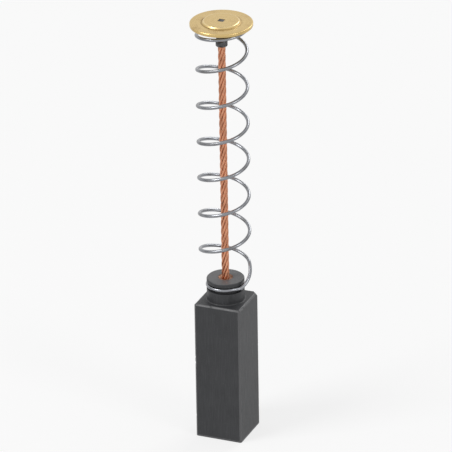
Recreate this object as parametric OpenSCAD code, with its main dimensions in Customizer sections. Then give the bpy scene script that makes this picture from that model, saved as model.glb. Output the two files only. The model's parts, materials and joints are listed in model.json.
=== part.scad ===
// Carbon brush with a stranded lead, a compression spring and a round contact cap.
// Millimetres. The origin is the centre of the contact face and +Z runs up the spring.

/* [Carbon block] */
// Width of the block along X
block_w = 6.35; // [5.6:0.05:8]
// Width of the block along Y
block_d = 6.35; // [5.6:0.05:8]
// Length of the block, from the contact face to the shoulder
block_l = 19.05; // [12:0.05:28]
// Chamfer along the long edges and round the shoulder
edge_chamfer = 0.18; // [0.05:0.01:0.4]
// Reach of the break on one corner of the shoulder, along each edge
corner_break = 0.7; // [0.45:0.05:1]

/* [Boss] */
// Diameter of the round boss that the spring grips
boss_d = 4.9; // [4.2:0.05:5.3]
// Height of the boss above the shoulder
boss_h = 3; // [2:0.05:4]
// Height of the collar between the groove and the top of the boss
collar_h = 0.55; // [0.4:0.05:0.8]
// Depth of the groove that holds the end turn
groove_depth = 0.35; // [0.2:0.01:0.45]
// Chamfer round the top of the boss
boss_chamfer = 0.12; // [0.05:0.01:0.3]
// Radius of the fillet where the boss meets the shoulder
boss_fillet = 0.15; // [0.05:0.01:0.3]

/* [Lead] */
// Diameter of one strand of the lead
strand_d = 0.32; // [0.22:0.01:0.38]
// Length of one full turn of the rope lay
lay_length = 7; // [5:0.25:10]
// Depth of the drilled hole for the lead, below the top of the boss
lead_hole_depth = 6; // [4:0.1:9]
// Width of the ring of tamped copper powder round the lead
tamping_ring = 0.42; // [0.25:0.01:0.6]
// Depth of copper powder under the end of the lead
tamping_floor = 0.35; // [0.2:0.05:0.8]
// Depth of the dish that the tamping tool leaves in the powder
tamping_dish = 0.12; // [0.05:0.01:0.2]

/* [Spring] */
// Diameter of the spring wire
wire_d = 0.45; // [0.35:0.01:0.5]
// Diameter of the open turns, measured between wire centres
coil_d = 6.4; // [5.9:0.05:7]
// Rise of one open turn
coil_pitch = 5.05; // [3.5:0.05:6]
// Turns above the neck, with the closing turns
coil_turns = 7.2; // [4:0.1:9]
// Turns over which the pitch closes under the cap
closing_turns = 1.25; // [0.5:0.05:1.5]
// Turns wrapped in the groove of the boss
grip_turns = 0.92; // [0.7:0.01:0.95]
// Turns in the neck, from the groove out to the open turns
neck_turns = 0.25; // [0.2:0.01:0.4]
// Rise of the neck
neck_rise = 2.7; // [2:0.05:3.5]
// Direction in which the wire leaves the groove, from +X towards +Y
neck_angle = -45; // [-180:1:180]

/* [Contact cap] */
// Diameter of the cap over its rim
cap_d = 8.1; // [7.8:0.05:10]
// Thickness of the sheet that the cap is pressed from
cap_t = 0.45; // [0.3:0.01:0.7]
// Diameter of the raised platform
platform_d = 4.6; // [3.8:0.05:4.9]
// Height of the platform above the flange
platform_rise = 0.25; // [0.1:0.01:0.4]
// Width of the slope between the platform and the flange
slope_w = 0.2; // [0.1:0.01:0.4]
// Chamfer on both edges of the rim
rim_chamfer = 0.06; // [0.02:0.01:0.1]

/* [Lead ferrule] */
// Length of the ferrule below the cap
ferrule_l = 3; // [2:0.1:5]
// Wall of the ferrule round the lead
ferrule_wall = 0.25; // [0.18:0.01:0.4]
// Solid end of the ferrule above the lead
ferrule_end = 0.5; // [0.3:0.05:1]
// Depth of the crimped waist
crimp_depth = 0.08; // [0.03:0.01:0.12]
// Length of the crimped waist
crimp_l = 1; // [0.5:0.1:1.5]
// Width of the square tenon that is staked through the cap
tenon_w = 0.75; // [0.5:0.01:0.85]
// Width of the punch mark in the top of the tenon
punch_d = 0.36; // [0.2:0.01:0.45]

/* [Clearances] */
// Gap between neighbouring strands
strand_gap = 0.02; // [0.015:0.005:0.03]
// Gap between the lead or its hole and what surrounds it
tamping_gap = 0.02; // [0.01:0.005:0.03]
// Gap between the end turn and the floor of its groove
grip_gap = 0.02; // [0.015:0.005:0.04]
// Gap between the end turn and each side of its groove
groove_gap = 0.08; // [0.06:0.01:0.12]
// Gap between the top turn and the cap
seat_gap = 0.05; // [0.03:0.01:0.08]
// Gap between the tenon and its hole, and under the staked shoulder
tenon_gap = 0.02; // [0.01:0.005:0.03]
// Distance of the staked tenon below the face of the platform
stake_depth = 0.03; // [0.01:0.01:0.06]

/* [Hidden] */
outer_strands = 6;

round_sides = 96; // facets on full circles
strand_sides = 8; // facets round one strand
slices_per_lay = 12; // steps along one turn of the lay
wire_sides = 10; // facets round the spring wire
steps_per_turn = 30; // steps along one turn of the spring
drill_point = 118; // angle of the drill that makes the lead hole
cut_past = 1; // how far each cut runs past the face that it opens
tiny_turn = 0.001; // step used to find the wire's direction

// Heights of the block and boss
shoulder_z = block_l;
boss_top_z = shoulder_z + boss_h;
groove_top_z = boss_top_z - collar_h;

// The end turn in its groove: each turn of it rises by most of a wire's thickness
grip_pitch = 0.7 * wire_d;
grip_rise = grip_pitch * grip_turns;
groove_r = boss_d / 2 - groove_depth;
groove_h = wire_d + grip_rise + 2 * groove_gap;
grip_r = groove_r + grip_gap + wire_d / 2;
wire_start_z = groove_top_z - groove_h + groove_gap + wire_d / 2;
wire_start_angle = neck_angle - 360 * grip_turns;

// The neck swings out of the groove first and climbs after that
neck_swing = 0.7; // share of the neck in which the radius grows
neck_wait = 0.2; // share of the neck before the wire climbs
neck_foot_z = wire_start_z + grip_rise;
neck_top_z = neck_foot_z + neck_rise;

// The open turns, and the total of the spring
open_turns = coil_turns - closing_turns;
spring_turns = grip_turns + neck_turns + coil_turns;
spring_top_z = neck_top_z + coil_pitch * (open_turns + closing_turns / 2) + wire_d / 2;

// The cap rests on the spring
cap_z = spring_top_z + seat_gap;
flange_top_z = cap_z + cap_t;
platform_z = flange_top_z + platform_rise;
cap_ceiling_z = cap_z + platform_rise;
slope_angle = atan2(platform_rise, slope_w);
slope_shift = cap_t * tan(slope_angle / 2); // keeps the sheet's thickness through the slope

// The rope of one core strand and the outer strands round it
lay_r = (strand_d + strand_gap) / (2 * sin(180 / outer_strands));
core_d = 2 * (lay_r - strand_gap) - strand_d;
lead_r = lay_r + strand_d / 2;

// The lead runs from the powder in the block to the blind end of the ferrule
lead_hole_z = boss_top_z - lead_hole_depth;
lead_hole_r = lead_r + 2 * tamping_gap + tamping_ring;
lead_z = lead_hole_z + tamping_gap + tamping_floor;
ferrule_top_z = cap_ceiling_z - tenon_gap;
ferrule_z = ferrule_top_z - ferrule_l;
ferrule_bore_r = lead_r + tamping_gap;
ferrule_r = ferrule_bore_r + ferrule_wall;
ferrule_bore_z = ferrule_top_z - ferrule_end;
ferrule_chamfer = 0.2 * ferrule_wall;
lead_l = ferrule_bore_z - tamping_gap - lead_z;
tenon_h = platform_z - stake_depth - ferrule_top_z;

carbon = "#34363a";
copper_powder = "#8c5a3c";
copper = "#c77b4a";
steel = "#9aa0a6";
brass = "#c9a24b";
tinned = "#6d7074";

// 0 to 1 with level ends
function ease(u) = u * u * (3 - 2 * u);

function clamp(u) = max(0, min(1, u));

// 0 to rise over u = 0 to 1, level at the start and with the given slope at the end
function climb(rise, end_slope, u) = rise * ease(u) + end_slope * (u * u * u - u * u);

// Radius of the wire's centre, t turns from its lower end
function wire_r(t) =
    grip_r + (coil_d / 2 - grip_r) * ease(clamp((t - grip_turns) / (neck_turns * neck_swing)));

// Height above the neck after a turns of the coil, with the pitch closing at the top
function coil_rise(a) =
    let (u = (a - open_turns) / closing_turns)
    coil_pitch * (u < 0 ? a : open_turns + closing_turns * (u - pow(u, 3) + pow(u, 4) / 2));

// Height above the groove after n turns of the neck
function neck_climb(n) =
    let (climb_turns = neck_turns * (1 - neck_wait))
    climb(neck_rise, coil_pitch * climb_turns, clamp((n - neck_turns * neck_wait) / climb_turns));

// Height of the wire's centre, t turns from its lower end
function wire_z(t) =
    t < grip_turns ? wire_start_z + grip_pitch * t
    : t < grip_turns + neck_turns ? neck_foot_z + neck_climb(t - grip_turns)
    : neck_top_z + coil_rise(t - grip_turns - neck_turns);

function outward(t) = let (a = wire_start_angle + 360 * t) [cos(a), sin(a), 0];

function wire_point(t) = wire_r(t) * outward(t) + [0, 0, wire_z(t)];

function unit(v) = v / norm(v);

// Ring of points round the wire, square to its direction
function wire_ring(t) =
    let (along = unit(wire_point(t + tiny_turn) - wire_point(t - tiny_turn)),
         out = unit(outward(t) - (outward(t) * along) * along),
         side = cross(along, out))
    [for (k = [0:wire_sides - 1])
        let (a = 360 * k / wire_sides)
        wire_point(t) + wire_d / 2 * (cos(a) * out + sin(a) * side)];

// Skin over a stack of rings with the same number of points, closed at both ends
module skin(rings) {
    sides = len(rings[0]);
    last = len(rings) - 1;
    polyhedron(
        points = [for (ring = rings) each ring],
        faces = concat(
            [[for (k = [0:sides - 1]) k]],
            [[for (k = [sides - 1:-1:0]) last * sides + k]],
            [for (i = [0:last - 1], k = [0:sides - 1])
                let (a = i * sides + k, b = i * sides + (k + 1) % sides)
                each [[a, a + sides, b], [b, a + sides, b + sides]]]),
        convexity = 10);
}

// Long bar centred on the X axis whose faces lie at 45 degrees, reaching the given
// distance along each face of the edge that it cuts
module edge_cutter(reach, l) {
    rotate([45, 0, 0]) cube([l, reach * sqrt(2), reach * sqrt(2)], center = true);
}

// Bevels on the four long edges and round the shoulder
module block_bevels() {
    along_x = block_w + 2 * cut_past;
    along_y = block_d + 2 * cut_past;
    along_z = 2 * (block_l + cut_past);
    for (sx = [-1, 1], sy = [-1, 1])
        translate([sx * block_w / 2, sy * block_d / 2, 0])
            rotate([0, 90, 0]) edge_cutter(edge_chamfer, along_z);
    for (sy = [-1, 1])
        translate([0, sy * block_d / 2, shoulder_z]) edge_cutter(edge_chamfer, along_x);
    for (sx = [-1, 1])
        translate([sx * block_w / 2, 0, shoulder_z])
            rotate([0, 0, 90]) edge_cutter(edge_chamfer, along_y);
}

// Break across one corner of the shoulder, square to the corner's diagonal
module corner_cutter() {
    size = 2 * corner_break;
    translate([block_w / 2, block_d / 2, shoulder_z])
        rotate([0, acos(1 / sqrt(3)), 45])
            translate([-size, -size, -corner_break / sqrt(3)]) cube([2 * size, 2 * size, size]);
}

// Half section of the boss: fillet at its foot, groove for the end turn, chamfer at the top
module boss_section() {
    r = boss_d / 2;
    fillet_steps = 5;
    polygon(concat(
        [[0, shoulder_z - cut_past], [r + boss_fillet, shoulder_z - cut_past]],
        [for (i = [0:fillet_steps])
            let (a = 270 - 90 * i / fillet_steps)
            [r + boss_fillet, shoulder_z + boss_fillet] + boss_fillet * [cos(a), sin(a)]],
        [[r, groove_top_z - groove_h], [groove_r, groove_top_z - groove_h],
         [groove_r, groove_top_z], [r, groove_top_z],
         [r, boss_top_z - boss_chamfer], [r - boss_chamfer, boss_top_z], [0, boss_top_z]]));
}

// Drilled hole for the lead, with the cone that the drill leaves at its end
module lead_hole(r, z, l) {
    cone_h = r / tan(drill_point / 2);
    translate([0, 0, z]) cylinder(r = r, h = l, $fn = round_sides);
    translate([0, 0, z - cone_h]) cylinder(r1 = 0, r2 = r, h = cone_h, $fn = round_sides);
}

module carbon_block() {
    color(carbon)
    difference() {
        union() {
            difference() {
                translate([-block_w / 2, -block_d / 2, 0]) cube([block_w, block_d, block_l]);
                block_bevels();
                corner_cutter();
            }
            rotate_extrude($fn = round_sides) boss_section();
        }
        lead_hole(lead_hole_r, lead_hole_z, lead_hole_depth + cut_past);
    }
}

// Copper powder tamped round the lead, with a shallow dish in its top
module tamping_plug() {
    r = lead_hole_r - tamping_gap;
    lead_way = lead_r + tamping_gap;
    color(copper_powder)
    difference() {
        lead_hole(r, lead_hole_z + tamping_gap, lead_hole_depth - tamping_gap);
        translate([0, 0, lead_z - tamping_gap])
            cylinder(r = lead_way, h = lead_hole_depth, $fn = round_sides);
        translate([0, 0, boss_top_z - tamping_dish])
            cylinder(r1 = lead_way, r2 = r, h = tamping_dish, $fn = round_sides);
    }
}

module spring() {
    steps = ceil(spring_turns * steps_per_turn);
    color(steel) skin([for (i = [0:steps]) wire_ring(spring_turns * i / steps)]);
}

// Half section of the cap: one thickness of sheet with a raised platform
module cap_section() {
    r = cap_d / 2;
    slope_r = platform_d / 2 + slope_w;
    polygon([
        [0, cap_ceiling_z], [platform_d / 2 - slope_shift, cap_ceiling_z],
        [slope_r - slope_shift, cap_z], [r - rim_chamfer, cap_z],
        [r, cap_z + rim_chamfer], [r, flange_top_z - rim_chamfer],
        [r - rim_chamfer, flange_top_z], [slope_r, flange_top_z],
        [platform_d / 2, platform_z], [0, platform_z]]);
}

module contact_cap() {
    hole_w = tenon_w + 2 * tenon_gap;
    color(brass)
    difference() {
        rotate_extrude($fn = round_sides) cap_section();
        translate([-hole_w / 2, -hole_w / 2, cap_z]) cube([hole_w, hole_w, cap_t + platform_rise + cut_past]);
    }
}

// Half section of the ferrule: blind bore for the lead and a crimped waist
module ferrule_section() {
    c = ferrule_chamfer;
    crimp_z = (ferrule_z + ferrule_bore_z - crimp_l) / 2;
    waist_r = ferrule_r - crimp_depth;
    polygon([
        [ferrule_bore_r, ferrule_z], [ferrule_r - c, ferrule_z], [ferrule_r, ferrule_z + c],
        [ferrule_r, crimp_z - crimp_depth], [waist_r, crimp_z],
        [waist_r, crimp_z + crimp_l], [ferrule_r, crimp_z + crimp_l + crimp_depth],
        [ferrule_r, ferrule_top_z], [0, ferrule_top_z],
        [0, ferrule_bore_z], [ferrule_bore_r, ferrule_bore_z]]);
}

module lead_ferrule() {
    punch_h = punch_d / 2;
    color(tinned)
    difference() {
        union() {
            rotate_extrude($fn = round_sides) ferrule_section();
            translate([-tenon_w / 2, -tenon_w / 2, ferrule_top_z - ferrule_end / 2])
                cube([tenon_w, tenon_w, tenon_h + ferrule_end / 2]);
        }
        translate([0, 0, ferrule_top_z + tenon_h - punch_h])
            cylinder(r1 = 0, r2 = punch_d, h = 2 * punch_h, $fn = round_sides);
    }
}

module lead_core() {
    color(copper) translate([0, 0, lead_z]) cylinder(d = core_d, h = lead_l, $fn = round_sides);
}

// One outer strand, laid round the core
module lead_strand(i) {
    color(copper)
    translate([0, 0, lead_z])
        rotate([0, 0, 360 * i / outer_strands])
            linear_extrude(height = lead_l, twist = -360 * lead_l / lay_length,
                           slices = ceil(slices_per_lay * lead_l / lay_length))
                translate([lay_r, 0]) circle(d = strand_d, $fn = strand_sides);
}

carbon_block();
tamping_plug();
spring();
contact_cap();
lead_ferrule();
lead_core();
for (i = [1:outer_strands])
    lead_strand(i);
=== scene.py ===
import json
import math

import bpy
import numpy as np
from mathutils import Matrix, Vector


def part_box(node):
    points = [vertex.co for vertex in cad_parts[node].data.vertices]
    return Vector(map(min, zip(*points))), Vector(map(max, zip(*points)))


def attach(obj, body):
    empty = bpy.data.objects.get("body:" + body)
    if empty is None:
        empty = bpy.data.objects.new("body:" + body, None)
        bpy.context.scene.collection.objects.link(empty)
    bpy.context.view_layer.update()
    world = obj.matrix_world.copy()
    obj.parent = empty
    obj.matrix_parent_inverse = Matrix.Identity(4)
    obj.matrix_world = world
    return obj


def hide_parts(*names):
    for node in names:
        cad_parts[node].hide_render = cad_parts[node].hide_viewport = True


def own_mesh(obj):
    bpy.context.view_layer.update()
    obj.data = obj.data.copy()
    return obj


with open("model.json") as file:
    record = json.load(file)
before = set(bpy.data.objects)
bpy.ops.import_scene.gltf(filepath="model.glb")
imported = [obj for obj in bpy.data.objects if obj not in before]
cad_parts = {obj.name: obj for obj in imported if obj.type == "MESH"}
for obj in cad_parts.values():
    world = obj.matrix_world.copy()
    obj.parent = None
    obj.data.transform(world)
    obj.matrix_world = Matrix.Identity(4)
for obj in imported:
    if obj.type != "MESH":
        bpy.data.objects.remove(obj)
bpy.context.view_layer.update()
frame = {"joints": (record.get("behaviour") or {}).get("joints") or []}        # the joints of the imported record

mm = 0.001
upright = (0, 0, 1)
sharpAngle = math.radians(40)       # edges that turn further than this stay sharp in the shading


# The CAD boxes that everything else is placed by

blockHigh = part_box("carbon_block")[1]
capLow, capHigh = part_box("contact_cap")
ferruleLow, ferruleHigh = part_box("lead_ferrule")
plugLow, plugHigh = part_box("tamping_plug")
coreLow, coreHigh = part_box("lead_core")
travelJoint = frame["joints"][0]
travel = travelJoint["range_m"][1]


# Points and surfaces

def unit(vector):
    return vector / np.linalg.norm(vector, axis=-1, keepdims=True)


# 0 up to 0, 1 from 1, and 3u^2 - 2u^3 between
def ease(u):
    u = np.clip(u, 0, 1)
    return u * u * (3 - 2 * u)


def anglesRound(columns):
    return np.linspace(0, 2 * np.pi, columns, endpoint=False)


# Points after the first on the straight line from start to end, no further apart than stepLength
def dividedLine(start, end, stepLength):
    count = max(1, math.ceil(np.linalg.norm(end - start) / stepLength))
    return start + np.linspace(0, 1, count + 1)[1:, None] * (end - start)


# Path through the given points. Each inner corner is a quadratic Bezier curve that begins and ends
# at distance cut from it, and straight stretches are divided into steps of at most stepLength
def roundPath(points, cuts, stepLength, cornerSteps=4):
    points = np.array(points, float)
    path = [points[:1]]
    u = np.linspace(0, 1, cornerSteps + 1)[1:, None]
    for before, corner, after, cut in zip(points[:-2], points[1:-1], points[2:], cuts):
        start = corner + cut * unit(before - corner)
        end = corner + cut * unit(after - corner)
        path.append(dividedLine(path[-1][-1], start, stepLength))
        path.append((1 - u) ** 2 * start + 2 * u * (1 - u) * corner + u ** 2 * end)
    path.append(dividedLine(path[-1][-1], points[-1], stepLength))
    return np.concatenate(path)


# Smooth noise from 0 to 1: random numbers on a cubic lattice, blended between the eight corners
# of each cell with 3t^2 - 2t^3. Three large numbers spread the corners over the table
def latticeNoise(points, cell, seed):
    table = np.random.default_rng(seed).random(4096)
    place = points / cell
    low = np.floor(place).astype(np.int64)
    share = ease(place - low)
    total = np.zeros(points.shape[:-1])
    for corner in np.ndindex(2, 2, 2):
        at = low + corner
        key = at[..., 0] * 73856093 ^ at[..., 1] * 19349663 ^ at[..., 2] * 83492791
        weight = np.prod(np.where(np.array(corner, bool), share, 1 - share), axis=-1)
        total += weight * table[key % table.size]
    return total


# Noise plus half as much noise in cells that are finer times smaller: from 0 to 1.5
def roughNoise(points, cell, finer, seed):
    return latticeNoise(points, cell, seed) + 0.5 * latticeNoise(points, cell / finer, seed + 1)


# Circle of radius r at each angle, lifted to z: (r cos a, r sin a, z) for every pair of a path
# point (r, z) and an angle a
def revolve(path, angles):
    radius, height = path[:, :1], path[:, 1:]
    return np.stack([radius * np.cos(angles), radius * np.sin(angles), height + 0 * angles], axis=-1)


# Skin over rows of points, shaped (shells, rows, columns, 3) or (rows, columns, 3). The last column
# joins the first. With loop the last row joins the first as well, and without it a fan on the
# middle of the first and last row closes each end. facts are numbers or vectors kept at the points
def skinObject(name, rows, facts=None, loop=False):
    rows = rows if rows.ndim == 4 else rows[None]
    shells, rowCount, columns = rows.shape[:3]
    index = np.arange(shells * rowCount * columns).reshape(shells, rowCount, columns)
    beside = np.roll(index, -1, axis=2)
    above = np.roll(index, -1, axis=1)
    diagonal = np.roll(beside, -1, axis=1)
    last = rowCount if loop else rowCount - 1
    quads = np.stack([index, beside, diagonal, above], axis=-1)[:, :last].reshape(-1, 4)
    faces = quads.tolist()
    points = rows.reshape(-1, 3)
    if not loop:
        lowPole = index.size + 2 * np.arange(shells)[:, None] + 0 * index[:, 0]
        highPole = lowPole + 1
        faces += np.stack([lowPole, beside[:, 0], index[:, 0]], axis=-1).reshape(-1, 3).tolist()
        faces += np.stack([highPole, index[:, -1], beside[:, -1]], axis=-1).reshape(-1, 3).tolist()
        points = np.concatenate([points, endMiddles(rows)])
    mesh = bpy.data.meshes.new(name)
    mesh.from_pydata(points.tolist(), [], faces)
    for factName, values in (facts or {}).items():
        values = values.reshape(rows.shape[:3] + (-1,))
        flat = values.reshape(index.size, -1)
        if not loop:
            flat = np.concatenate([flat, endMiddles(values)])
        kind, field = ("FLOAT", "value") if flat.shape[1] == 1 else ("FLOAT_VECTOR", "vector")
        attribute = mesh.attributes.new(factName, kind, "POINT")
        attribute.data.foreach_set(field, flat.astype(np.float32).ravel())
    mesh.polygons.foreach_set("use_smooth", [True] * len(mesh.polygons))
    mesh.set_sharp_from_angle(angle=sharpAngle)
    mesh.update()
    return placeObject(name, mesh)


# Mean of the first row and of the last row of each shell
def endMiddles(values):
    return values[:, [0, -1]].mean(axis=2).reshape(-1, values.shape[-1])


def placeObject(name, data):
    placed = bpy.data.objects.new(name, data)
    bpy.context.scene.collection.objects.link(placed)
    return placed


def dress(piece, body, slotName, material, *nodes):
    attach(piece, body)
    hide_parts(*nodes)
    piece.data.materials.append(material)
    print("made", piece.name, len(piece.data.polygons), "faces")


# Node trees as expressions

# One socket of a node tree. Arithmetic on it adds Math nodes
class Signal:
    def __init__(self, board, socket):
        self.board = board
        self.socket = socket

    def output(self, name):
        return Signal(self.board, self.socket.node.outputs[name])

    def __add__(self, other):
        return self.board.math("ADD", self, other)

    __radd__ = __add__

    def __sub__(self, other):
        return self.board.math("SUBTRACT", self, other)

    def __rsub__(self, other):
        return self.board.math("SUBTRACT", other, self)

    def __mul__(self, other):
        return self.board.math("MULTIPLY", self, other)

    __rmul__ = __mul__

    def __truediv__(self, other):
        return self.board.math("DIVIDE", self, other)

    def __rtruediv__(self, other):
        return self.board.math("DIVIDE", other, self)

    def __pow__(self, other):
        return self.board.math("POWER", self, other)


# A node tree that takes new nodes and their links
class Board:
    def __init__(self, tree):
        self.tree = tree

    def feed(self, socket, value):
        if isinstance(value, Signal):
            self.tree.links.new(value.socket, socket)
        else:
            socket.default_value = value

    # A node of any type: its settings first, then its sockets by name or number
    def node(self, kind, settings=None, inputs=None, output=0):
        made = self.tree.nodes.new(kind)
        for name, value in (settings or {}).items():
            setattr(made, name, value)
        for name, value in (inputs or {}).items():
            self.feed(made.inputs[name], value)
        return Signal(self, made.outputs[output]) if made.outputs else made

    def math(self, operation, *values):
        return self.node("ShaderNodeMath", {"operation": operation}, dict(enumerate(values)))

    def stretched(self, place, factors):
        return self.node("ShaderNodeVectorMath", {"operation": "MULTIPLY"}, {0: place, 1: factors})

    def combined(self, x=0.0, y=0.0, z=0.0):
        return self.node("ShaderNodeCombineXYZ", inputs={"X": x, "Y": y, "Z": z})

    def separated(self, vector):
        x = self.node("ShaderNodeSeparateXYZ", inputs={"Vector": vector})
        return x, x.output("Y"), x.output("Z")

    def blend(self, share, first, second):
        return self.node("ShaderNodeMix", {"data_type": "RGBA"}, {0: share, 6: first, 7: second}, output=2)

    # 0 below low, 1 above high, smooth between
    def step(self, value, low, high):
        settings = {"interpolation_type": "SMOOTHSTEP"}
        return self.node("ShaderNodeMapRange", settings, {0: value, 1: low, 2: high})

    # scale is in cells to the metre where place is the object's own
    def noise(self, place, scale=1.0, detail=3.0, roughness=0.5):
        return self.node("ShaderNodeTexNoise", {"noise_dimensions": "3D"},
                         {"Vector": place, "Scale": scale, "Detail": detail, "Roughness": roughness})

    def bump(self, height, strength, distance):
        return self.node("ShaderNodeBump", inputs={
            "Strength": strength, "Distance": distance, "Height": height})

    def objectPlace(self):
        return self.node("ShaderNodeTexCoord", output="Object")

    # A fact kept at the points, for a material
    def fact(self, name):
        return self.node("ShaderNodeAttribute", {"attribute_name": name}, output="Fac")

    # The same for geometry nodes, where kind is FLOAT or FLOAT_VECTOR
    def pointFact(self, name, kind):
        return self.node("GeometryNodeInputNamedAttribute", {"data_type": kind}, {"Name": name})


# Board on the emptied node tree of a material or world
def emptyBoard(owner):
    owner.use_nodes = True
    owner.node_tree.nodes.clear()
    return Board(owner.node_tree)


# A material whose plain sockets are the given numbers, and whose patterned sockets come from
# paint(board, s)
def makeMaterial(name, plain, paint=None, s=None):
    material = bpy.data.materials.new(name)
    board = emptyBoard(material)
    shader = board.node("ShaderNodeBsdfPrincipled", inputs=plain)
    patterned = paint(board, s) if paint else {}
    for socket, value in patterned.items():
        board.feed(shader.socket.node.inputs[socket], value)
    board.node("ShaderNodeOutputMaterial", inputs={"Surface": shader})
    return material


def grey(level):
    return (level, level, level, 1)


print("tools ready")


# Camera: the brush seen from above, a little from its right, through a long lens

cameraSettings = {
    "azimuth": 22.8,        # degrees from straight ahead
    "elevation": 25.3,      # degrees above the horizon
    "roll": -0.95,          # degrees, about the line of sight
    "lens": 500,            # mm, so that upright edges stay parallel
    "frameWidth": 58.07,    # mm of the brush's middle plane across the picture
    "aimHeight": 29.28,     # mm above the contact face
    "aimAside": 0.17,       # mm to the right of the spring's axis
}


# The camera stands in the direction (sin a cos e, -cos a cos e, sin e) from the point it is aimed
# at, as far off as makes frameWidth fill the sensor: frameWidth x lens / sensor width
def makeCamera(s):
    a = math.radians(s["azimuth"])
    e = math.radians(s["elevation"])
    back = Vector((math.sin(a) * math.cos(e), -math.cos(a) * math.cos(e), math.sin(e)))
    right = Vector((math.cos(a), math.sin(a), 0))
    data = bpy.data.cameras.new("camera")
    data.lens = s["lens"]
    distance = s["frameWidth"] * mm * data.lens / data.sensor_width
    data.clip_start = distance / 10
    data.clip_end = distance * 100
    camera = placeObject("camera", data)
    aim = Vector(upright) * s["aimHeight"] * mm + right * s["aimAside"] * mm
    turn = back.to_track_quat("Z", "Y").to_matrix().to_4x4()
    roll = Matrix.Rotation(math.radians(s["roll"]), 4, "Z")
    camera.matrix_world = Matrix.Translation(aim + back * distance) @ turn @ roll
    bpy.context.scene.camera = camera


makeCamera(cameraSettings)
print("camera placed")


# Spring: the same wire line as the CAD spring, as a smooth round wire

springSettings = {
    "wire": 0.45,           # mm
    "coil": 6.4,            # mm between wire centres
    "pitch": 5.05,          # mm
    "turns": 7.2,           # from the neck to the cap
    "closingTurns": 1.25,   # the last of them, which level out under the cap
    "gripTurns": 0.92,      # in the groove of the boss
    "neckTurns": 0.25,      # from the groove out to the coil
    "neckRise": 2.7,        # mm
    "neckAngle": -45,       # degrees
    "neckSwing": 0.7,       # share of the neck in which the wire swings out
    "neckWait": 0.2,        # share of the neck before it climbs
    "gripPitch": 0.7,       # wire thicknesses to each turn of the grip
    "gripGap": 0.02,        # mm to the floor of the groove
    "grooveGap": 0.08,      # mm to each side of the groove
    "endRounding": 0.05,    # mm
    "stepsPerTurn": 72,
    "columns": 20,
    "darkSteel": (0.17, 0.175, 0.19, 1),
    "paleSteel": (0.36, 0.37, 0.39, 1),
    "oilFilm": (0.14, 0.135, 0.13, 1),
    "filmShare": 0.6,
}

bossSettings = {
    "diameter": 4.9,        # mm, as is all the rest
    "height": 3,
    "collar": 0.55,         # above the groove
    "grooveDepth": 0.35,
    "chamfer": 0.12,
    "fillet": 0.15,         # at its foot
    "edgeRounding": 0.03,
    "step": 0.2,            # between rings
}

wireRadius = springSettings["wire"] * mm / 2
bossTop = blockHigh.z
shoulder = bossTop - bossSettings["height"] * mm
bossRadius = bossSettings["diameter"] * mm / 2
grooveRadius = bossRadius - bossSettings["grooveDepth"] * mm
grooveTop = bossTop - bossSettings["collar"] * mm
gripRise = springSettings["gripPitch"] * springSettings["gripTurns"] * 2 * wireRadius
grooveBottom = grooveTop - 2 * wireRadius - gripRise - 2 * springSettings["grooveGap"] * mm
gripRadius = grooveRadius + springSettings["gripGap"] * mm + wireRadius
wireStart = grooveBottom + springSettings["grooveGap"] * mm + wireRadius


# Centre of the wire t turns from its lower end: (r cos a, r sin a, z). r grows from the groove to the
# coil in the neck. z rises slowly in the groove, swings up through the neck by a cubic that ends at
# the coil's slope, rises evenly, and levels out by u - u^3 + u^4 / 2 under the cap
def springLine(t, s):
    coilRadius = s["coil"] * mm / 2
    pitch = s["pitch"] * mm
    neck = t - s["gripTurns"]
    radius = gripRadius + (coilRadius - gripRadius) * ease(neck / (s["neckTurns"] * s["neckSwing"]))
    climbTurns = s["neckTurns"] * (1 - s["neckWait"])
    v = np.clip((neck - s["neckTurns"] * s["neckWait"]) / climbTurns, 0, 1)
    neckClimb = s["neckRise"] * mm * ease(v) + pitch * climbTurns * (v ** 3 - v ** 2)
    coilTurn = neck - s["neckTurns"]
    openTurns = s["turns"] - s["closingTurns"]
    u = (coilTurn - openTurns) / s["closingTurns"]
    closing = s["closingTurns"] * (u - u ** 3 + u ** 4 / 2)
    coilClimb = pitch * np.where(u < 0, np.maximum(coilTurn, 0), openTurns + closing)
    z = wireStart + gripRise * np.minimum(t / s["gripTurns"], 1) + neckClimb + coilClimb
    a = np.radians(s["neckAngle"]) + 2 * np.pi * neck
    return np.stack([radius * np.cos(a), radius * np.sin(a), z], axis=-1)


# Ring of radius r round each point of a line, square to the line: centre + r (cos b out + sin b side),
# where out is the part of the outward direction that is square to the line
def tubeRows(line, outward, radii, columns):
    along = unit(np.gradient(line, axis=0))
    out = unit(outward - np.sum(outward * along, axis=-1, keepdims=True) * along)
    side = np.cross(along, out)
    b = anglesRound(columns)[:, None]
    ring = np.cos(b) * out[:, None] + np.sin(b) * side[:, None]
    return line[:, None] + radii[:, None, None] * ring


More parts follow.
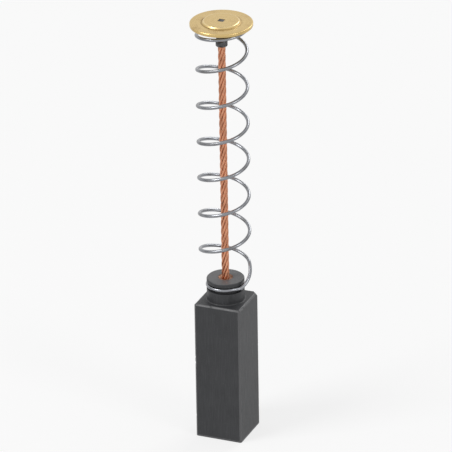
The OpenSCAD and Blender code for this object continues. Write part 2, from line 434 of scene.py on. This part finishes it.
# The wire as a tube along its line. Towards each cut end its radius falls by endRounding (1 - e)^2,
# where e eases from 0 at the end to 1 at twice endRounding from it
def makeSpring(s, material):
    totalTurns = s["gripTurns"] + s["neckTurns"] + s["turns"]
    t = np.linspace(0, totalTurns, round(totalTurns * s["stepsPerTurn"]) + 1)
    line = springLine(t, s)
    length = np.concatenate([[0], np.cumsum(np.linalg.norm(np.diff(line, axis=0), axis=1))])
    toEnd = np.minimum(length, length[-1] - length)
    rounding = s["endRounding"] * mm
    radii = wireRadius - rounding * (1 - ease(toEnd / (2 * rounding))) ** 2
    rows = tubeRows(line, unit(line * (1, 1, 0)), radii, s["columns"])
    around = np.linspace(0, 1, s["columns"], endpoint=False) + 0 * length[:, None]
    facts = {
        "lift": rows[..., 2] - line[:, None, 2],
        "alongWire": length[:, None] + 0 * around,
        "roundWire": np.abs(2 * around - 1),
    }
    spring = skinObject("springWire", rows, facts)
    dress(spring, "carbon", "spring_steel", material, "spring")
    anchor = wireStart + gripRise / 2
    1 - travel / (line[-1, 2] - anchor)
    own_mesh(spring)
    keepWireRound(spring, anchor, rows[..., 2].max())


# Geometry nodes that undo the flattening of the wire itself: a point goes back up by
# lift (1 - k), where k is how far the spring is squashed, read from the height of its top
def keepWireRound(spring, anchor, restTop):
    board, geometry = startGeometry("keepWireRound")
    k = (topOf(board, geometry) - anchor) / (restTop - anchor)
    offset = board.combined(z=board.pointFact("lift", "FLOAT") * (1 - k))
    finishGeometry(spring, board, board.node("GeometryNodeSetPosition", inputs={
        "Geometry": geometry, "Offset": offset}))


def startGeometry(name):
    tree = bpy.data.node_groups.new(name, "GeometryNodeTree")
    tree.interface.new_socket("Geometry", in_out="INPUT", socket_type="NodeSocketGeometry")
    tree.interface.new_socket("Geometry", in_out="OUTPUT", socket_type="NodeSocketGeometry")
    board = Board(tree)
    return board, board.node("NodeGroupInput")


def topOf(board, geometry):
    highest = board.node("GeometryNodeBoundBox", inputs={"Geometry": geometry}, output="Max")
    return board.separated(highest)[2]


def finishGeometry(piece, board, geometry):
    board.node("NodeGroupOutput", inputs={"Geometry": geometry})
    piece.modifiers.new(board.tree.name, "NODES").node_group = board.tree


# Drawn wire: fine lines along it, a thin oil film in places
def paintSteel(board, s):
    wirePlace = board.combined(x=board.fact("alongWire") * 260, y=board.fact("roundWire") * 9)
    lines = board.noise(wirePlace, 3.0, detail=4)
    film = board.step(board.noise(board.objectPlace(), 420.0), 0.5, 0.72)
    tone = board.blend(lines, s["darkSteel"], s["paleSteel"])
    return {
        "Base Color": board.blend(film * s["filmShare"], tone, s["oilFilm"]),
        "Roughness": 0.2 + lines * 0.1 + film * 0.16,
        "Normal": board.bump(lines, 0.5, 6e-6),
    }


steel = makeMaterial("springSteel", {"Metallic": 1.0}, paintSteel, springSettings)
makeSpring(springSettings, steel)


# Carbon block with its boss, as one skin: contact face, sides, shoulder, boss, drilled hole

blockSettings = {
    "chamfer": 0.18,        # mm
    "cornerBreak": 0.7,     # mm from the broken corner of the shoulder along each of its edges
    "edgeRounding": 0.05,   # mm
    "step": 0.15,           # mm between rings and between columns
    "fanShare": 0.07,       # share of the contact face that one fan closes
    "shoulderRows": 10,
    "holeDepth": 6,         # mm
    "holeGap": 0.02,        # mm round the tamped powder
    "mouthRounding": 0.04,  # mm
    "drillPoint": 118,      # degrees
    "drillRounding": 0.01,  # mm where the point of the hole begins
    "tipShare": 0.03,       # share of the hole's radius that one fan closes at its tip
    "wearWidth": 0.09,      # mm over which the rubbing and the painted edge highlight fade from an edge of the block
    "rimWearWidth": 0.1,    # mm, the same for the top of the boss
    "chipDepth": 0.1,       # mm
    "chipCell": 0.42,       # mm
    "chipFiner": 3,         # times smaller cells for the fine noise
    "chipLevel": 1.04,      # noise above which the edge is chipped, out of 1.5
    "chipSlope": 0.16,      # more noise to the full depth
    "chipSeed": 11,
    "darkCarbon": (0.016, 0.017, 0.019, 1),
    "paleCarbon": (0.034, 0.035, 0.038, 1),
    "groundLine": (0.055, 0.057, 0.062, 1),
    # pale flecks of graphite: real flakes, their pale colour a painted glint
    "flake": (0.17, 0.17, 0.18, 1),
    # pale edge colour: partly wear, partly a painted highlight along the edges
    "rubbedEdge": (0.17, 0.17, 0.175, 1),
}


# Section of the block: a square with chamfered corners, each edge of the chamfer slightly rounded
def blockOutline(half, s):
    x, y = half
    c = s["chamfer"] * mm
    corners = [(x, 0), (x, y - c), (x - c, y), (c - x, y), (-x, y - c),
               (-x, c - y), (c - x, -y), (x - c, -y), (x, c - y), (x, 0)]
    cuts = [s["edgeRounding"] * mm] * (len(corners) - 2)
    return roundPath(corners, cuts, s["step"] * mm)[:-1]


# Rings from the middle of the contact face up to the shoulder: at each point (d, z) of a profile,
# the outline times 1 - d / half width, at height z
def blockRings(half, outline, s):
    c = s["chamfer"] * mm
    inset = (1 - s["fanShare"]) * half[0]
    cuts = [s["edgeRounding"] * mm] * 3
    profile = roundPath([(inset, 0), (0, 0), (0, shoulder - c), (c, shoulder), (2 * c, shoulder)],
                        cuts, s["step"] * mm)
    rings = outline * (1 - profile[:, :1, None] / half)
    return np.concatenate([rings, profile[:, 1:, None] + 0 * rings[..., :1]], axis=-1)


# Distance from each point to the nearest edge of the block's shoulder, sides or contact face: the
# second smallest of its distances to the block's faces
def edgeDistance(points, half):
    toFaces = np.stack([half[0] - np.abs(points[..., 0]), half[1] - np.abs(points[..., 1]),
                        shoulder - points[..., 2], points[..., 2]], axis=-1)
    return np.sort(np.abs(toFaces), axis=-1)[..., 1]


# 1 on the chamfers, falling on the faces to 0 by e^-u, where u is the distance from them over wearWidth.
# It sets the chips, and the paler edges, which are partly wear and partly a painted edge highlight
def edgeWearAndHighlight(points, half, s):
    beyond = edgeDistance(points, half) - s["chamfer"] * mm
    return np.exp(-np.maximum(beyond, 0) / (s["wearWidth"] * mm))


# Small chips: how far each point moves towards the middle of the block, up to chipDepth where the
# noise is well past its level, and less away from the edges
def chipMoves(points, wearAndHighlight, s):
    noise = roughNoise(points, s["chipCell"] * mm, s["chipFiner"], s["chipSeed"])
    bite = ease((noise - s["chipLevel"]) / s["chipSlope"]) * wearAndHighlight
    inward = unit((0, 0, shoulder / 2) - points)
    return inward * s["chipDepth"] * mm * bite[..., None]


# Breaks one corner of the shoulder: points beyond the plane at equal reach along the three edges
# move back to it along its normal
def breakCorner(points, half, reach):
    depth = reach - (half[0] - points[..., 0]) - (half[1] - points[..., 1]) - (shoulder - points[..., 2])
    return points - np.maximum(depth, 0)[..., None] / 3


# Height of the cone that the drill leaves at the end of a hole: radius / tan(half its angle)
def drillCone(radius):
    return radius / math.tan(math.radians(blockSettings["drillPoint"] / 2))


# Profile (r, z) up the boss with its groove, in over its top and down the hole to the drill's tip
def bossProfile(footRadius, s, boss):
    ch = boss["chamfer"] * mm
    hole = plugHigh.x + s["holeGap"] * mm
    holeEnd = bossTop - s["holeDepth"] * mm
    tip = holeEnd - (1 - s["tipShare"]) * drillCone(hole)
    corners = [(footRadius, shoulder), (bossRadius, shoulder), (bossRadius, grooveBottom),
               (grooveRadius, grooveBottom), (grooveRadius, grooveTop), (bossRadius, grooveTop),
               (bossRadius, bossTop - ch), (bossRadius - ch, bossTop), (hole, bossTop),
               (hole, holeEnd), (s["tipShare"] * hole, tip)]
    turnedEdges = [boss["edgeRounding"]] * 6
    cuts = [boss["fillet"], *turnedEdges, s["mouthRounding"], s["drillRounding"]]
    return roundPath(corners, np.array(cuts) * mm, boss["step"] * mm)


# One skin of three stretches: the square rings, rings that blend evenly from the last square to the
# circle round the boss's fillet, and the boss's profile turned about the axis
def makeBlock(s, boss, material):
    half = (blockHigh.x, blockHigh.y)
    outline = blockOutline(half, s)
    sides = blockRings(half, outline, s)
    sideWearAndHighlight = edgeWearAndHighlight(sides, half, s)
    sides = breakCorner(sides, half, s["cornerBreak"] * mm) + chipMoves(sides, sideWearAndHighlight, s)
    sides[..., 2] = np.maximum(sides[..., 2], 0)
    angles = np.arctan2(outline[:, 1], outline[:, 0])
    footRadius = bossRadius + 2 * boss["fillet"] * mm
    circle = revolve(np.array([[footRadius, shoulder]]), angles)[0]
    share = np.linspace(0, 1, s["shoulderRows"] + 1)[1:-1, None, None]
    top = (1 - share) * sides[-1] + share * circle
    topWearAndHighlight = sideWearAndHighlight[-1:] * (1 - share[..., 0])
    column = revolve(bossProfile(footRadius, s, boss), angles)
    belowTop = np.abs(column[..., 2] - bossTop)
    rimWearAndHighlight = np.exp(-belowTop / (s["rimWearWidth"] * mm)) * (column[..., 2] > grooveTop)
    wearAndHighlight = np.concatenate([sideWearAndHighlight, topWearAndHighlight, rimWearAndHighlight])
    block = skinObject("carbonBlock", np.concatenate([sides, top, column]), {"wearAndHighlight": wearAndHighlight})
    dress(block, "carbon", "carbon", material, "carbon_block")


# Carbon-graphite: dark grains and graphite flakes painted pale as a glint, fine grinding lines along the
# faces, and edges painted paler, partly as wear and partly as a painted edge highlight
def paintCarbon(board, s):
    place = board.objectPlace()
    grain = board.noise(place, 5200.0, detail=4, roughness=0.6)
    cloud = board.noise(place, 380.0)
    lines = board.noise(board.stretched(place, (8200, 8200, 380)))
    # graphite flakes, painted pale as a glint
    glintingFlakes = board.step(board.noise(place, 8200.0, detail=2), 0.66, 0.74)
    # edges painted paler: partly wear, partly a painted edge highlight
    rubbedAndHighlit = board.step(board.fact("wearAndHighlight") * (0.55 + grain * 0.9), 0.35, 0.9)
    tone = board.blend(cloud, s["darkCarbon"], s["paleCarbon"])
    tone = board.blend(board.step(lines, 0.4, 0.7) * 0.3, tone, s["groundLine"])
    tone = board.blend(glintingFlakes * 0.36, tone, s["flake"])
    return {
        "Base Color": board.blend(rubbedAndHighlit * 0.45, tone, s["rubbedEdge"]),
        "Roughness": 0.58 - lines * 0.16 - glintingFlakes * 0.2 - rubbedAndHighlit * 0.1,
        "Normal": board.bump(grain * 0.5 + lines * 0.7, 0.8, 2.2e-5),
    }


carbon = makeMaterial("carbonGraphite", {"Specular IOR Level": 0.45}, paintCarbon, blockSettings)
makeBlock(blockSettings, bossSettings, carbon)


# Tamped copper powder round the lead

plugSettings = {
    "dish": 0.12,           # mm deep at the lead
    "dishHalfway": 0.75,    # share of that depth midway between wall and lead
    "dishRounding": 0.1,    # mm
    "dishStep": 0.03,       # mm between rings
    "leadGap": 0.04,        # mm beside the lead
    "endGap": 0.02,         # mm under the lead
    "wallRounding": 0.02,   # mm
    "wayRounding": 0.01,    # mm at the bottom of the lead's way
    "step": 0.5,            # mm between rings out of sight
    "tipShare": 0.03,       # share of the radius that one fan closes at each end
    "grainDepth": 0.035,    # mm
    "grainCell": 0.09,      # mm
    "grainFiner": 2,
    "grainSeed": 5,
    "columns": 120,
    "darkCopper": (0.16, 0.085, 0.055, 1),
    "paleCopper": (0.6, 0.31, 0.19, 1),
    "darkGrain": (0.07, 0.05, 0.045, 1),
}


# Profile (r, z) turned about the axis: up the wall of the drilled hole, over a shallow dish to the
# lead and down the lead's way. On the dish each point sinks by grainDepth times the rough noise
def makePlug(s, material):
    radius = plugHigh.x
    way = 3 * coreHigh.x + s["leadGap"] * mm
    wayEnd = coreLow.z - s["endGap"] * mm
    dishLow = bossTop - s["dish"] * mm
    midway = ((radius + way) / 2, bossTop - s["dishHalfway"] * s["dish"] * mm)
    wallPath = roundPath(
        [(s["tipShare"] * radius, plugLow.z), (radius, plugLow.z + drillCone(radius)), (radius, bossTop)],
        [s["wallRounding"] * mm], s["step"] * mm)
    dishPath = roundPath([(radius, bossTop), midway, (way, dishLow)],
                         [s["dishRounding"] * mm], s["dishStep"] * mm)[1:]
    wayPath = roundPath([(way, dishLow), (way, wayEnd), (s["tipShare"] * way, wayEnd)],
                        [s["wayRounding"] * mm], s["step"] * mm)[1:]
    rows = revolve(np.concatenate([wallPath, dishPath, wayPath]), anglesRound(s["columns"]))
    grains = roughNoise(rows, s["grainCell"] * mm, s["grainFiner"], s["grainSeed"])
    onDish = slice(len(wallPath), len(wallPath) + len(dishPath))
    rows[onDish, :, 2] -= s["grainDepth"] * mm * grains[onDish]
    plug = skinObject("tampedPowder", rows)
    dress(plug, "carbon", "tamped_copper", material, "tamping_plug")


# Pressed powder: copper grains among dark ones
def paintPowder(board, s):
    place = board.objectPlace()
    grain = board.noise(place, 9000.0, roughness=0.65)
    dark = board.step(board.noise(place, 5200.0, detail=2), 0.5, 0.62)
    tone = board.blend(grain, s["darkCopper"], s["paleCopper"])
    return {
        "Base Color": board.blend(dark * 0.6, tone, s["darkGrain"]),
        "Metallic": 0.75 - dark * 0.5,
        "Roughness": 0.55 + dark * 0.2,
        "Normal": board.bump(grain, 0.9, 2.5e-5),
    }


powder = makeMaterial("copperPowder", {}, paintPowder, plugSettings)
makePlug(plugSettings, powder)


# Contact cap: one thickness of pressed brass round a square hole

capSettings = {
    "platform": 4.6,        # mm across
    "rise": 0.25,           # mm
    "slope": 0.2,           # mm across the slope round the platform
    "thickness": 0.45,      # mm
    "rimChamfer": 0.06,     # mm
    "bend": 0.09,           # mm of rounding at the pressed bends
    "edgeRounding": 0.03,   # mm
    "hole": 0.79,           # mm
    "holeRows": 4,
    "step": 0.16,           # mm between rings
    "cornerDirt": 0.1,      # mm either way over which the foot of the slope is dark
    "edgePolish": 0.07,     # mm either way over which the platform's edge is rubbed bright
    "columns": 192,
    "darkBrass": (0.52, 0.36, 0.13, 1),
    "paleBrass": (0.72, 0.54, 0.25, 1),
    "tarnish": (0.36, 0.24, 0.1, 1),
    # colour of the darker ring at the foot of the slope
    "dirt": (0.13, 0.08, 0.035, 1),
    "bareBrass": (0.88, 0.74, 0.46, 1),
}


# Squares about the axis, one for each width and height: (r cos a, r sin a, z), where r is half the
# width over the larger of |cos a| and |sin a|
def squareRows(widths, heights, angles):
    reach = np.maximum(np.abs(np.cos(angles)), np.abs(np.sin(angles)))
    radius = np.array(widths)[:, None] / 2 / reach
    height = np.array(heights)[:, None] + 0 * radius
    return np.stack([radius * np.cos(angles), radius * np.sin(angles), height], axis=-1)


# Profile (r, z) turned about the axis: out under the sheet, round the rim and back in over it. The
# squares of the hole's wall join its two ends, which lie clear of the hole's corners. Under the
# sheet the bends lie further in by thickness x tan(half the slope's angle), which keeps the sheet
# one thickness
def makeCap(s, material):
    radius = capHigh.x
    under = capLow.z
    ceiling = under + s["rise"] * mm
    top = capHigh.z
    flange = top - s["rise"] * mm
    platform = s["platform"] * mm / 2
    slopeEnd = platform + s["slope"] * mm
    shift = s["thickness"] * mm * math.tan(math.atan2(s["rise"], s["slope"]) / 2)
    ch = s["rimChamfer"] * mm
    hole = s["hole"] * mm
    corners = [(hole, ceiling), (platform - shift, ceiling), (slopeEnd - shift, under),
               (radius - ch, under), (radius, under + ch), (radius, flange - ch),
               (radius - ch, flange), (slopeEnd, flange), (platform, top), (hole, top)]
    bends = [s["bend"]] * 2
    cuts = [*bends, *[s["edgeRounding"]] * 4, *bends]
    angles = anglesRound(s["columns"])
    disc = revolve(roundPath(corners, np.array(cuts) * mm, s["step"] * mm), angles)
    wall = squareRows([hole] * s["holeRows"], np.linspace(top, ceiling, s["holeRows"]), angles)
    cap = skinObject("contactCap", np.concatenate([disc, wall]), loop=True)
    dress(cap, "cap", "cap_brass", material, "contact_cap")


# 1 where radius is at middle, falling to 0 by e^(-u^2), where u is the distance over width
def ringMask(board, radius, middle, width):
    u = (radius - middle) / width
    return board.math("EXPONENT", u * u * -1)


# Satin brass: rings from turning the die, short stray scratches, a little tarnish, a darker ring at the
# foot of the pressed slope and a bright edge above it
def paintBrass(board, s):
    place = board.objectPlace()
    x, y, height = board.separated(place)
    radius = (x * x + y * y) ** 0.5
    edge = s["platform"] * mm / 2
    foot = edge + (s["slope"] + s["cornerDirt"] / 2) * mm
    # a darker ring at the foot of the slope, in the bend where it meets the flange
    darkAtFoot = ringMask(board, radius, foot, s["cornerDirt"] * mm)
    polished = ringMask(board, radius, edge, s["edgePolish"] * mm)
    rings = board.noise(board.combined(x=radius * 9000, y=height * 9000))
    scratches = board.noise(board.stretched(place, (9000, 700, 2000)), detail=2)
    crossing = board.noise(board.stretched(place, (800, 11000, 2000)), detail=2)
    scratched = board.step(board.math("MAXIMUM", scratches, crossing), 0.7, 0.78)
    tarnished = board.step(board.noise(place, 520.0, detail=4), 0.5, 0.75)
    tone = board.blend(rings, s["darkBrass"], s["paleBrass"])
    tone = board.blend(tarnished * 0.5, tone, s["tarnish"])
    tone = board.blend(darkAtFoot * (0.55 + tarnished * 0.3), tone, s["dirt"])
    bright = board.math("MAXIMUM", scratched * 0.3, polished * 0.5)
    return {
        "Base Color": board.blend(bright, tone, s["bareBrass"]),
        "Roughness": 0.2 + rings * 0.12 + tarnished * 0.16 + darkAtFoot * 0.25,
        "Normal": board.bump(rings + scratched * 0.6, 0.6, 7e-6),
    }


brass = makeMaterial("pressedBrass", {"Metallic": 1.0}, paintBrass, capSettings)
makeCap(capSettings, brass)


# Ferrule: blind sleeve crimped on the lead, with a square tenon staked through the cap

ferruleSettings = {
    "length": 3,            # mm below its shoulder
    "wall": 0.25,           # mm
    "end": 0.5,             # mm of solid end above the lead
    "crimpDepth": 0.08,     # mm
    "crimpLength": 1,       # mm
    "crimpRounding": 0.04,  # mm
    "mouthChamfer": 0.05,   # mm
    "edgeRounding": 0.02,   # mm
    "boreRounding": 0.03,   # mm
    "step": 0.15,           # mm between rings
    "tenon": 0.75,          # mm
    "tenonClear": 0.75,     # radius just clear of the tenon's corners, as a share of its width
    "stakeEdge": 0.03,      # mm of chamfer round the top of the tenon
    "stakeTop": 0.8,        # width of the innermost square on top, as a share of the tenon's
    "punch": 0.36,          # mm across the punch mark
    "punchRim": 1.2,        # radius of the ring round the mark, as a share of its own
    "punchRounding": 0.02,  # mm
    "punchStep": 0.05,      # mm between rings
    "fanShare": 0.04,       # share of the radius that one fan closes in the bore and the mark
    "columns": 96,
    # greys far darker than tin: painted shade under the cap, where the ferrule sits in shadow
    "paleTin": (0.115, 0.115, 0.12, 1),
    "stain": (0.035, 0.034, 0.034, 1),
}


# Profile (r, z) turned about the axis, from the bore's end down, out and up over the crimp to the
# shoulder. Then squares up the tenon and over its edge, and a cone as deep as its radius for the
# punch mark
def makeFerrule(s, material):
    radius = ferruleHigh.x
    low, high = ferruleLow.z, ferruleHigh.z
    shoulderTop = low + s["length"] * mm
    bore = radius - s["wall"] * mm
    ceiling = shoulderTop - s["end"] * mm
    ch = s["mouthChamfer"] * mm
    d = s["crimpDepth"] * mm
    waist = radius - d
    crimpLow = (low + ceiling - s["crimpLength"] * mm) / 2
    crimpHigh = crimpLow + s["crimpLength"] * mm
    tenon = s["tenon"] * mm
    corners = [(s["fanShare"] * bore, ceiling), (bore, ceiling), (bore, low), (radius - ch, low),
               (radius, low + ch), (radius, crimpLow - d), (waist, crimpLow), (waist, crimpHigh),
               (radius, crimpHigh + d), (radius, shoulderTop), (s["tenonClear"] * tenon, shoulderTop)]
    edge = s["edgeRounding"]
    cuts = [s["boreRounding"], edge, edge, edge, *[s["crimpRounding"]] * 4, edge]
    angles = anglesRound(s["columns"])
    sleeve = revolve(roundPath(corners, np.array(cuts) * mm, s["step"] * mm), angles)
    stakeEdge = s["stakeEdge"] * mm
    widths = [tenon, tenon, tenon - 2 * stakeEdge, s["stakeTop"] * tenon]
    stake = squareRows(widths, [shoulderTop, high - stakeEdge, high, high], angles)
    punch = s["punch"] * mm / 2
    markPath = roundPath(
        [(s["punchRim"] * punch, high), (punch, high), (s["fanShare"] * punch, high - punch)],
        [s["punchRounding"] * mm], s["punchStep"] * mm)
    rows = np.concatenate([sleeve, stake, revolve(markPath, angles)])
    ferrule = skinObject("leadFerrule", rows)
    dress(ferrule, "cap", "tinned_ferrule", material, "lead_ferrule")


# Old tin with dark stains, both greys painted far darker than tin as painted shade under the cap
def paintTin(board, s):
    place = board.objectPlace()
    cloud = board.noise(place, 1500.0, detail=4, roughness=0.6)
    fine = board.noise(place, 9000.0, detail=2)
    stained = board.step(cloud, 0.42, 0.65)
    return {
        "Base Color": board.blend(stained, s["paleTin"], s["stain"]),
        "Roughness": 0.34 + stained * 0.2,
        "Normal": board.bump(fine + cloud, 0.6, 1e-5),
    }


tin = makeMaterial("tinPaintedDarkAsShade", {"Metallic": 1.0}, paintTin, ferruleSettings)
makeFerrule(ferruleSettings, tin)


# Lead: a core strand and six strands laid round it, each strand a bunch of fine wires

leadSettings = {
    "strand": 0.32,         # mm
    "strandGap": 0.02,      # mm
    "lay": 7,               # mm for one turn of the rope
    "strands": 6,
    "wires": 9,             # fine wires round each strand
    "wireLay": 2.6,         # mm for one turn of the wires, laid the other way
    "heart": 0.28,          # mm across the wires inside the strand, drawn as one
    "step": 0.22,           # mm between rings
    "columns": 6,
    "coils": 3,             # turns that the slack lead takes inside the spring
    "bowEase": 0.22,        # share of the free length in which the bow grows, at each end
    "bowMean": 0.79,        # mean of the bow against its middle
    "seed": 3,
    "darkCopper": (0.62, 0.27, 0.15, 1),
    "paleCopper": (0.86, 0.47, 0.3, 1),
    "tarnish": (0.3, 0.13, 0.075, 1),
}


# Fine wires of one strand at every height z: the strand's own helix of radius R about the axis plus
# the wire's smaller helix of radius r about the strand, R (cos A, sin A) + r (cos B, sin B). A gains
# a turn to each lay, and B loses one to each wire lay. The last wire stands for the strand's heart
def strandRows(s, ropeRadius, turn):
    strandRadius = s["strand"] * mm / 2
    sine = math.sin(math.pi / s["wires"])
    fine = strandRadius * sine / (1 + sine)
    count = math.ceil((coreHigh.z - coreLow.z) / (s["step"] * mm))
    z = np.linspace(coreLow.z, coreHigh.z, count + 1)
    wire = np.arange(s["wires"] + 1)[:, None]
    isHeart = wire == s["wires"]
    ropeAngle = 2 * np.pi * ((z - coreLow.z) / (s["lay"] * mm) + turn)
    wireAngle = 2 * np.pi * (wire / s["wires"] - (z - coreLow.z) / (s["wireLay"] * mm))
    wireRing = np.where(isHeart, 0, strandRadius - fine)
    x = ropeRadius * np.cos(ropeAngle) + wireRing * np.cos(wireAngle)
    y = ropeRadius * np.sin(ropeAngle) + wireRing * np.sin(wireAngle)
    centres = np.stack([x, y, z + 0 * x], axis=-1)
    b = anglesRound(s["columns"])
    ring = np.stack([np.cos(b), np.sin(b), 0 * b], axis=-1)
    thickness = np.where(isHeart, s["heart"] * mm / 2, fine)[..., None, None]
    return centres[:, :, None] + ring * thickness


# One strand, each of its wires in a tone of its own. number is its place round the rope, where the
# core's is the last
def makeStrand(s, name, node, ropeRadius, number, material):
    rows = strandRows(s, ropeRadius, number / s["strands"])
    tones = np.random.default_rng(s["seed"] + number).random(len(rows))
    facts = {
        "restPlace": rows,
        "tone": tones[:, None, None] + 0 * rows[..., 0],
        "alongLead": rows[..., 2] - coreLow.z,
    }
    strand = skinObject(name, rows, facts)
    dress(strand, "carbon", "lead_copper", material, node)
    top = rows[..., 2].max()
    1 - travel / (top - bossTop)
    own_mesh(strand)
    bowWithTravel(strand, s, top)


# The laid strands lie strandGap apart when their centres are on a circle of radius
# (strand + strandGap) / (2 sin(pi / strands))
def makeLead(s, material):
    ropeRadius = (s["strand"] + s["strandGap"]) * mm / (2 * math.sin(math.pi / s["strands"]))
    makeStrand(s, "leadCore", "lead_core", 0, s["strands"], material)
    for n in range(s["strands"]):
        makeStrand(s, f"leadStrand{n + 1}", f"lead_strand_{n + 1}", ropeRadius, n, material)


# Geometry nodes that keep the lead's length while the spring is pressed. From the height of the
# squashed lead they find how far the cap has come down, q. The free stretch of length L, between
# the boss and the ferrule, then stands h = L - q high and winds into a slack helix of radius A,
# eased in and out at its ends, with A = sqrt(L^2 - h^2) / (2 pi coils bowMean). Each point keeps its
# place across the lead: centre + a out + b (cos t aside - sin t up), where t is the helix's slope
# from the upright
def bowWithTravel(piece, s, top):
    board, geometry = startGeometry("bow" + piece.name)
    keepNow = (topOf(board, geometry) - bossTop) / (top - bossTop)
    q = board.math("MAXIMUM", (1 - keepNow) * (top - bossTop), 0.0)
    free = ferruleLow.z - bossTop
    h = free - q
    x, y, z = board.separated(board.pointFact("restPlace", "FLOAT_VECTOR"))
    share = board.node("ShaderNodeClamp", inputs={"Value": (z - bossTop) / free})
    easeIn = board.step(share, 0.0, s["bowEase"])
    easeOut = 1 - board.step(share, 1 - s["bowEase"], 1.0)
    turning = 2 * math.pi * s["coils"]
    slack = board.math("SQRT", board.math("MAXIMUM", free * free - h * h, 0.0))
    bow = slack / (turning * s["bowMean"]) * (easeIn * easeOut)
    angle = share * turning
    cosA = board.math("COSINE", angle)
    sinA = board.math("SINE", angle)
    run = bow * turning
    slant = board.math("SQRT", run * run + h * h)
    a = x * cosA + y * sinA
    b = y * cosA - x * sinA
    out = bow + a
    aside = b * h / slant
    newX = out * cosA - aside * sinA
    newY = out * sinA + aside * cosA
    newZ = z - q * share - b * run / slant
    finishGeometry(piece, board, board.node("GeometryNodeSetPosition", inputs={
        "Geometry": geometry, "Position": board.combined(newX, newY, newZ)}))


# Bare copper: each wire its own tone, with brown tarnish in patches
def paintCopper(board, s):
    tone = board.fact("tone")
    patches = board.noise(board.objectPlace(), 900.0)
    tarnished = board.step(patches * 0.6 + tone * 0.4, 0.45, 0.75)
    streaks = board.noise(board.combined(x=board.fact("alongLead") * 1500, y=tone * 50))
    colour = board.blend(tone * 0.6 + streaks * 0.4, s["darkCopper"], s["paleCopper"])
    return {
        "Base Color": board.blend(tarnished * 0.55, colour, s["tarnish"]),
        "Roughness": 0.28 + tarnished * 0.22,
    }


copper = makeMaterial("bareCopper", {"Metallic": 1.0}, paintCopper, leadSettings)
makeLead(leadSettings, copper)


# Floor, background and lights

studioSettings = {
    "floorSize": 4,         # m
    "floorDrop": 0.01,      # mm under the contact face
    "floorShade": 0.86,     # colour of the floor as the lights meet it
    "floorWhite": 0.72,     # share of plain white that the camera sees in the floor
    "fill": 0.42,           # strength of the surroundings as a light
    "flagShade": 0.1,       # colour of the cards below
    "flags": {              # dark cards that only mirrored rays meet: place and size in m
        "leftFlag": {"place": (-0.37, -0.12, 0.06), "size": (0.16, 0.22)},
        "rightFlag": {"place": (0.37, 0.12, 0.06), "size": (0.16, 0.22)},
        "backFlag": {"place": (-0.1, 0.34, 0.52), "size": (0.3, 0.16)},
    },
    "lights": {             # place and size in m
        "keyLight": {"place": (-0.42, -0.46, 0.62), "size": 0.34, "watts": 3.4},
        "sideLight": {"place": (0.62, -0.22, 0.3), "size": 0.22, "watts": 1.0},
        "backLight": {"place": (0.1, 0.6, 0.5), "size": 0.3, "watts": 1.6},
    },
}

brushMiddle = Vector((0, 0, capHigh.z / 2))


# 1 for rays that should meet a white background: seen straight on, mirrored or through glass
def whiteRays(board):
    seen = board.node("ShaderNodeLightPath", output="Is Camera Ray")
    together = seen + seen.output("Is Glossy Ray") + seen.output("Is Transmission Ray")
    return board.math("MINIMUM", together, 1.0)


# A flat object of four corners that is no part of the brush
def makeFlat(name, corners, material):
    mesh = bpy.data.meshes.new(name)
    mesh.from_pydata(corners, [], [(0, 1, 2, 3)])
    mesh.materials.append(material)
    flat = placeObject(name, mesh)
    return flat


# The floor is clear from below, so that the contact face can be looked at
def makeFloor(s):
    material = bpy.data.materials.new("paleFloor")
    board = emptyBoard(material)
    matt = board.node("ShaderNodeBsdfDiffuse", inputs={"Color": grey(s["floorShade"])})
    white = board.node("ShaderNodeEmission", inputs={"Color": grey(1), "Strength": 1.0})
    mixed = board.node("ShaderNodeMixShader", inputs={
        0: whiteRays(board) * s["floorWhite"], 1: matt, 2: white})
    clear = board.node("ShaderNodeBsdfTransparent")
    fromBelow = board.node("ShaderNodeNewGeometry", output="Backfacing")
    oneSided = board.node("ShaderNodeMixShader", inputs={0: fromBelow, 1: mixed, 2: clear})
    board.node("ShaderNodeOutputMaterial", inputs={"Surface": oneSided})
    reach = s["floorSize"] / 2
    z = -s["floorDrop"] * mm
    corners = [(-reach, -reach, z), (reach, -reach, z), (reach, reach, z), (-reach, reach, z)]
    makeFlat("floor", corners, material)


# Cards that face the middle of the brush
def makeFlags(s):
    material = makeMaterial("darkCard", {"Base Color": grey(s["flagShade"]), "Roughness": 1.0})
    for name, flag in s["flags"].items():
        place = Vector(flag["place"])
        width, height = flag["size"]
        facing = (brushMiddle - place).normalized()
        across = facing.cross(Vector(upright)).normalized()
        along = across.cross(facing) * height / 2
        across = across * width / 2
        corners = [place - across - along, place + across - along, place + across + along,
                   place - across + along]
        card = makeFlat(name, corners, material)
        card.visible_camera = card.visible_diffuse = card.visible_shadow = False
        card.visible_transmission = card.visible_volume_scatter = False


def makeWorld(s):
    world = bpy.data.worlds.new("studio")
    bpy.context.scene.world = world
    board = emptyBoard(world)
    white = whiteRays(board)
    strength = white + (1 - white) * s["fill"]
    background = board.node("ShaderNodeBackground", inputs={"Color": grey(1), "Strength": strength})
    board.node("ShaderNodeOutputWorld", inputs={"Surface": background})


def makeLights(s):
    for name, light in s["lights"].items():
        data = bpy.data.lights.new(name, "AREA")
        data.size = light["size"]
        data.energy = light["watts"]
        lamp = placeObject(name, data)
        lamp.location = light["place"]
        lamp.rotation_mode = "QUATERNION"
        lamp.rotation_quaternion = (lamp.location - brushMiddle).to_track_quat("Z", "Y")


makeFloor(studioSettings)
makeFlags(studioSettings)
makeWorld(studioSettings)
makeLights(studioSettings)
bpy.context.scene.view_settings.view_transform = "Standard"
print("studio ready")
